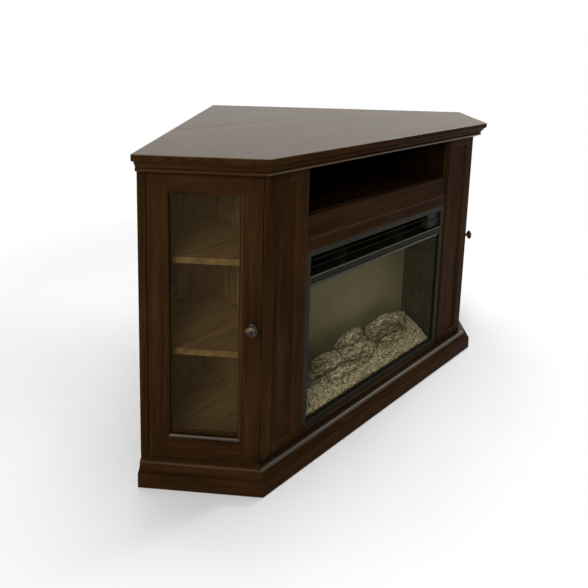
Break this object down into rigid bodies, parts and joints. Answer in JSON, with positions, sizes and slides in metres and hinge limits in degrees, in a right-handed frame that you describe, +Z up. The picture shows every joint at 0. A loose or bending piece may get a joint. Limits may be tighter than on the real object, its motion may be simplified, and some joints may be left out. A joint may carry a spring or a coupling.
{
  "type": "corner electric fireplace media cabinet",
  "caption": "Dark wood corner fireplace cabinet with an electric firebox, open media shelf, glazed cupboards in 45 degree wings and a fold-down rear leaf.",
  "frame": {"origin": "centre of the bounding box in plan, on the floor", "axes": "+Z up, -Y is the front face, +X is to the right seen from the front"},
  "size_m": [1.308, 0.856, 0.762],
  "materials": {
    "top_finish": "espresso stained wood top, satin lacquer that mirrors a pale room at a slant",
    "dark_wood": "espresso stained wood, satin lacquer",
    "inner_wood": "stained panel, satin",
    "plated_steel": "nickel plated steel",
    "door_glass": "clear float glass",
    "fire_glass": "tinted tempered glass with a black border",
    "dark_bronze": "oil rubbed bronze finish",
    "black_steel": "matt black powder coat",
    "galvanised": "galvanised sheet",
    "black_plastic": "moulded black plastic",
    "ember_resin": "cast resin ember bed, painted",
    "log_resin": "cast resin logs, painted bark",
    "screen_panel": "frosted dark flame screen",
    "foil": "foil reflector blades"
  },
  "bodies": {
    "cabinet": {"top_panel": "top_finish", "leaf_hinge_plates": "plated_steel", "cornice_front": "dark_wood", "cornice_left": "dark_wood", "cornice_right": "dark_wood", "top_rails": "dark_wood", "pilaster_left": "dark_wood", "pilaster_right": "dark_wood", "header_board": "dark_wood", "media_shelf": "dark_wood", "partition_left": "inner_wood", "partition_right": "inner_wood", "side_panel_left": "dark_wood", "side_panel_right": "dark_wood", "bottom_panel": "inner_wood", "back_panel": "inner_wood", "cable_grommets": "black_plastic", "kick_board": "dark_wood", "plinth_front": "dark_wood", "plinth_left": "dark_wood", "plinth_right": "dark_wood", "glides": "black_plastic", "upper_shelf_left": "inner_wood", "lower_shelf_left": "inner_wood", "upper_shelf_right": "inner_wood", "lower_shelf_right": "inner_wood", "shelf_pins": "plated_steel", "door_hinge_plates": "plated_steel", "door_catches": "black_plastic", "firebox_casing": "black_steel", "firebox_frame": "black_steel", "firebox_glass": "fire_glass", "vent_louvres": "black_steel", "outlet_grille": "black_steel", "ember_bed": "ember_resin", "log_set": "log_resin", "flame_screen": "screen_panel", "heater_housing": "galvanised", "rotor_supports": "galvanised", "control_box": "black_plastic", "power_gland": "black_plastic"},
    "drop_leaf_body": {"drop_leaf": "top_finish", "leaf_hinge_flaps": "plated_steel"},
    "left_door": {"left_door_frame": "dark_wood", "left_door_glass": "door_glass", "left_glass_beads": "dark_wood", "left_hinge_cups": "plated_steel", "left_knob": "dark_bronze", "left_knob_screw": "plated_steel"},
    "right_door": {"right_door_frame": "dark_wood", "right_door_glass": "door_glass", "right_glass_beads": "dark_wood", "right_hinge_cups": "plated_steel", "right_knob": "dark_bronze", "right_knob_screw": "plated_steel"},
    "flame_rotor_body": {"flame_rotor": "foil"},
    "blower_body": {"blower_wheel": "black_plastic"},
    "power_key": {"power_button": "black_plastic"},
    "flame_key": {"flame_button": "black_plastic"},
    "heat_key": {"heat_button": "black_plastic"}
  },
  "joints": [
    {"name": "right_door_hinge", "type": "hinge", "parent": "cabinet", "child": "right_door", "pos_m": [0.61582, -0.2161, 0.386], "axis": [0, 0, 1], "range_deg": [0, 100]},
    {"name": "left_door_hinge", "type": "hinge", "parent": "cabinet", "child": "left_door", "pos_m": [-0.61582, -0.2161, 0.386], "axis": [0, 0, -1], "range_deg": [0, 100]},
    {"name": "leaf_hinge", "type": "hinge", "parent": "cabinet", "child": "drop_leaf_body", "pos_m": [0, -0.0156, 0.741], "axis": [-1, 0, 0], "range_deg": [0, 90]},
    {"name": "flame_rotor_spin", "type": "hinge", "parent": "cabinet", "child": "flame_rotor_body", "pos_m": [0, -0.219, 0.13], "axis": [1, 0, 0], "continuous": true},
    {"name": "blower_spin", "type": "hinge", "parent": "cabinet", "child": "blower_body", "pos_m": [0, -0.283, 0.479], "axis": [1, 0, 0], "continuous": true},
    {"name": "power_press", "type": "slide", "parent": "cabinet", "child": "power_key", "axis": [0, 1, 0], "range_m": [0, 0.002], "stiffness_N_per_m": 400, "springref_m": -0.001},
    {"name": "flame_press", "type": "slide", "parent": "cabinet", "child": "flame_key", "axis": [0, 1, 0], "range_m": [0, 0.002], "stiffness_N_per_m": 400, "springref_m": -0.001},
    {"name": "heat_press", "type": "slide", "parent": "cabinet", "child": "heat_key", "axis": [0, 1, 0], "range_m": [0, 0.002], "stiffness_N_per_m": 400, "springref_m": -0.001}
  ]
}
